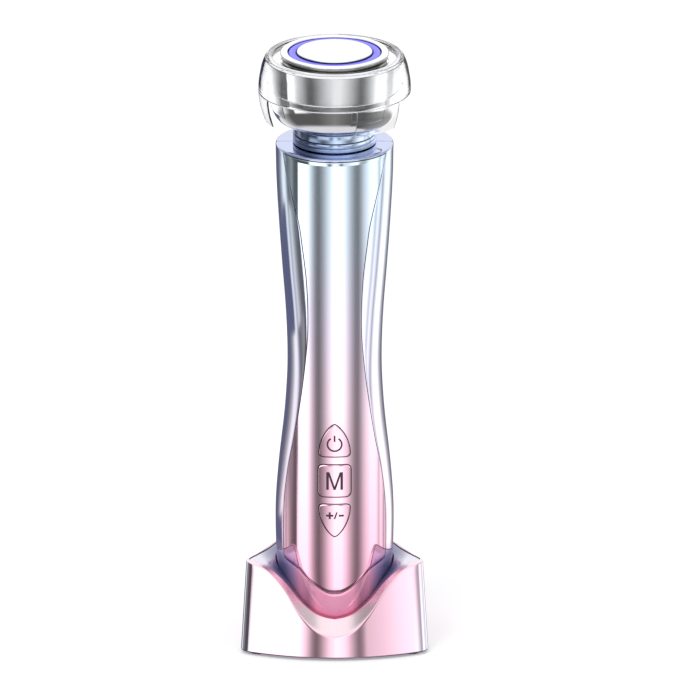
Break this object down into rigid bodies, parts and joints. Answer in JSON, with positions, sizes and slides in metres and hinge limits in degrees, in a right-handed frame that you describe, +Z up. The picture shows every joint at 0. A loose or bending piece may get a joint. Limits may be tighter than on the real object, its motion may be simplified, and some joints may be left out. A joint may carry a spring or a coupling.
{
  "type": "face and neck massager with charging cradle",
  "caption": "Upright face and neck massager: waisted wand with a chrome head, light ring, removable clear pad ring and press buttons, standing in a dipped charging cradle.",
  "frame": {"origin": "on the table, under the wand's own axis, which is the middle of the box of the whole part", "axes": "+Z up along the wand's axis; -Y is the front, with the panel and the buttons; +X is to the right as seen from the front"},
  "size_m": [0.0622, 0.0498, 0.2054],
  "materials": {
    "shell_plastic": "tinted clear coat over a silver layer, teal blue at the top to rose at the bottom",
    "panel_gloss": "mirror-like metallised plastic, lilac silver to rose",
    "button_gloss": "metallised rose plastic with engraved marks",
    "chrome": "polished",
    "disc_metal": "polished, nearly white",
    "light_diffuser": "frosted diffuser, lit violet blue",
    "clear_plastic": "clear and polished",
    "tray_plastic": "glossy lilac",
    "cradle_plastic": "glossy pearl rose",
    "steel": "plain",
    "gold": "gold plated",
    "dark_plastic": "moulded",
    "white_plastic": "moulded",
    "circuit_board": "solder mask",
    "rubber": "soft",
    "cell_wrap": "shrink wrap"
  },
  "bodies": {
    "cradle": {"cradle_shell": "cradle_plastic", "cradle_tray": "tray_plastic", "base_plate": "cradle_plastic", "base_weight": "steel", "base_board": "circuit_board", "charging_inlet": "steel", "pin_barrel_left": "gold", "pin_barrel_right": "gold", "rubber_foot_1": "rubber", "rubber_foot_2": "rubber", "rubber_foot_3": "rubber", "rubber_foot_4": "rubber", "base_screw_1": "steel", "base_screw_2": "steel", "base_screw_3": "steel", "base_screw_4": "steel"},
    "left_pin": {"contact_pin_left": "gold"},
    "right_pin": {"contact_pin_right": "gold"},
    "wand": {"front_shell": "shell_plastic", "back_shell": "shell_plastic", "front_panel": "panel_gloss", "bottom_cap": "white_plastic", "charging_pad_left": "gold", "charging_pad_right": "gold", "inner_frame": "white_plastic", "frame_screw_1": "steel", "frame_screw_2": "steel", "frame_screw_3": "steel", "frame_screw_4": "steel", "main_board": "circuit_board", "power_switch": "dark_plastic", "mode_switch": "dark_plastic", "level_switch": "dark_plastic", "battery_cell": "cell_wrap", "motor_sleeve": "rubber", "vibration_motor": "steel", "head_lead": "dark_plastic", "neck_seal": "rubber", "neck_collar": "shell_plastic", "neck_ring": "shell_plastic", "head_cup": "chrome", "face_rim": "chrome", "light_ring": "light_diffuser", "centre_disc": "disc_metal", "light_board": "circuit_board", "lamp_1": "white_plastic", "lamp_2": "white_plastic", "lamp_3": "white_plastic", "lamp_4": "white_plastic"},
    "power_key": {"power_button": "button_gloss", "power_plunger": "white_plastic"},
    "mode_key": {"mode_button": "button_gloss", "mode_plunger": "white_plastic"},
    "level_key": {"level_button": "button_gloss", "level_plunger": "white_plastic"},
    "motor_rotor": {"motor_shaft": "steel", "eccentric_weight": "steel"},
    "pad_ring": {"clear_ring": "clear_plastic"}
  },
  "joints": [
    {"name": "wand_lift", "type": "slide", "parent": "cradle", "child": "wand", "axis": [0, 0, 1], "range_m": [0, 0.06]},
    {"name": "left_pin_press", "type": "slide", "parent": "cradle", "child": "left_pin", "axis": [0, 0, -1], "range_m": [0, 0.0006], "stiffness_N_per_m": 300},
    {"name": "right_pin_press", "type": "slide", "parent": "cradle", "child": "right_pin", "axis": [0, 0, -1], "range_m": [0, 0.0006], "stiffness_N_per_m": 300},
    {"name": "power_press", "type": "slide", "parent": "wand", "child": "power_key", "axis": [0, 1, 0], "range_m": [0, 0.0005], "stiffness_N_per_m": 1000},
    {"name": "mode_press", "type": "slide", "parent": "wand", "child": "mode_key", "axis": [0, 1, 0], "range_m": [0, 0.0005], "stiffness_N_per_m": 1000},
    {"name": "level_press", "type": "slide", "parent": "wand", "child": "level_key", "axis": [0, 1, 0], "range_m": [0, 0.0005], "stiffness_N_per_m": 1000},
    {"name": "rotor_spin", "type": "hinge", "parent": "wand", "child": "motor_rotor", "pos_m": [0, 0, 0.165], "axis": [0, 0, 1], "continuous": true},
    {"name": "pad_ring_lift", "type": "slide", "parent": "wand", "child": "pad_ring", "axis": [0, 0, 1], "range_m": [0, 0.03]}
  ]
}
